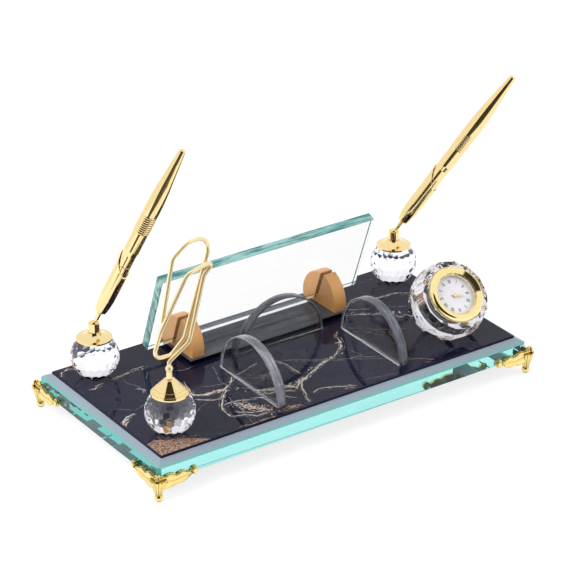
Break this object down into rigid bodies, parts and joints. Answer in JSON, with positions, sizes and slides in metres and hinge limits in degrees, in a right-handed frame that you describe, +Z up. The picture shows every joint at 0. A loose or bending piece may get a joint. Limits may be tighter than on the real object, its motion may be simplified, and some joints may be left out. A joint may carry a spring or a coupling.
{
  "type": "pen stand",
  "caption": "Desk set on a bevelled glass base with gilt feet: swivelling desk pens on cut-crystal balls, wire memo clip, crystal clock, glass name plate and card stops.",
  "frame": {"origin": "centre of the glass base's underside", "axes": "+X along the base to the owner's right, -Y towards the owner, +Z up"},
  "size_m": [0.3538, 0.1622, 0.1974],
  "materials": {
    "clear_glass": "polished",
    "cut_crystal": "cut and polished",
    "black_marble": "polished, white and gold veins",
    "black_stone": "polished",
    "cast_gilt": "cast, gold plated",
    "polished_gilt": "turned, gold plated",
    "steel": "plain",
    "bracket_wood": "satin varnish",
    "black_plastic": "moulded",
    "grip_rubber": "moulded",
    "white_dial": "satin white enamel"
  },
  "bodies": {
    "base": {"glass_base": "clear_glass", "marble_slab": "black_marble", "front_left_foot": "cast_gilt", "front_right_foot": "cast_gilt", "rear_right_foot": "cast_gilt", "rear_left_foot": "cast_gilt", "left_crystal_ball": "cut_crystal", "left_cap_stud": "steel", "left_pen_cap": "polished_gilt", "right_crystal_ball": "cut_crystal", "right_cap_stud": "steel", "right_pen_cap": "polished_gilt", "memo_crystal_ball": "cut_crystal", "memo_cap_stud": "steel", "memo_cone": "polished_gilt", "plate_plinth": "black_stone", "left_plate_bracket": "bracket_wood", "right_plate_bracket": "bracket_wood", "left_card_stop": "clear_glass", "right_card_stop": "clear_glass", "back_card_stop": "clear_glass", "clock_crystal": "cut_crystal"},
    "memo_clip": {"clip_pin": "polished_gilt", "clip_wire": "polished_gilt"},
    "plate": {"name_plate": "clear_glass"},
    "clock": {"clock_case": "black_plastic", "clock_grip_ring": "grip_rubber", "clock_bezel": "polished_gilt", "clock_lens": "clear_glass", "clock_dial": "white_dial", "clock_movement": "black_plastic", "clock_battery": "steel", "battery_hatch": "black_plastic"},
    "clock_minute_hand": {"minute_hand": "polished_gilt"},
    "clock_hour_hand": {"hour_hand": "polished_gilt"},
    "clock_knob": {"setting_knob": "black_plastic"},
    "left_swivel": {"left_swivel_collar": "polished_gilt"},
    "left_holder": {"left_ball_stem": "polished_gilt", "left_pen_funnel": "polished_gilt"},
    "left_pen": {"left_pen_front_barrel": "polished_gilt", "left_pen_ring_band": "polished_gilt", "left_pen_rear_barrel": "polished_gilt", "left_pen_refill": "steel"},
    "right_swivel": {"right_swivel_collar": "polished_gilt"},
    "right_holder": {"right_ball_stem": "polished_gilt", "right_pen_funnel": "polished_gilt"},
    "right_pen": {"right_pen_front_barrel": "polished_gilt", "right_pen_ring_band": "polished_gilt", "right_pen_rear_barrel": "polished_gilt", "right_pen_refill": "steel"}
  },
  "joints": [
    {"name": "left_swivel_turn", "type": "hinge", "parent": "base", "child": "left_swivel", "pos_m": [-0.124, 0.0464, 0.0547], "axis": [0, 0, 1], "continuous": true},
    {"name": "left_holder_tilt", "type": "hinge", "parent": "left_swivel", "child": "left_holder", "pos_m": [-0.124, 0.0464, 0.0547], "axis": [0.6521, 0.7581, 0], "range_deg": [-25.7, 18.3]},
    {"name": "left_pen_pull", "type": "slide", "parent": "left_holder", "child": "left_pen", "axis": [0.3288, -0.2828, 0.9011], "range_m": [0, 0.06]},
    {"name": "right_swivel_turn", "type": "hinge", "parent": "base", "child": "right_swivel", "pos_m": [0.1263, 0.0464, 0.0547], "axis": [0, 0, 1], "continuous": true},
    {"name": "right_holder_tilt", "type": "hinge", "parent": "right_swivel", "child": "right_holder", "pos_m": [0.1263, 0.0464, 0.0547], "axis": [0.5358, 0.8443, 0], "range_deg": [-34.5, 9.5]},
    {"name": "right_pen_pull", "type": "slide", "parent": "right_holder", "child": "right_pen", "axis": [0.4782, -0.3035, 0.8241], "range_m": [0, 0.06]},
    {"name": "memo_clip_turn", "type": "hinge", "parent": "base", "child": "memo_clip", "pos_m": [-0.1233, -0.0464, 0.0442], "axis": [0, 0, 1], "continuous": true},
    {"name": "plate_lift", "type": "slide", "parent": "base", "child": "plate", "axis": [0, -0.342, 0.9397], "range_m": [0, 0.04]},
    {"name": "clock_pull", "type": "slide", "parent": "base", "child": "clock", "axis": [0, -0.7071, 0.7071], "range_m": [0, 0.025]},
    {"name": "minute_turn", "type": "hinge", "parent": "clock", "child": "clock_minute_hand", "pos_m": [0.11, -0.04614, 0.04734], "axis": [0, 0.7071, -0.7071], "continuous": true},
    {"name": "hour_turn", "type": "hinge", "parent": "clock", "child": "clock_hour_hand", "pos_m": [0.11, -0.04614, 0.04734], "axis": [0, 0.7071, -0.7071], "continuous": true},
    {"name": "knob_turn", "type": "hinge", "parent": "clock", "child": "clock_knob", "pos_m": [0.1025, -0.04614, 0.04734], "axis": [0, 0.7071, -0.7071], "continuous": true}
  ],
  "couplings": [
    {"joint": "hour_turn", "follows": "minute_turn", "ratio": 0.083333},
    {"joint": "knob_turn", "follows": "minute_turn", "ratio": -1}
  ]
}
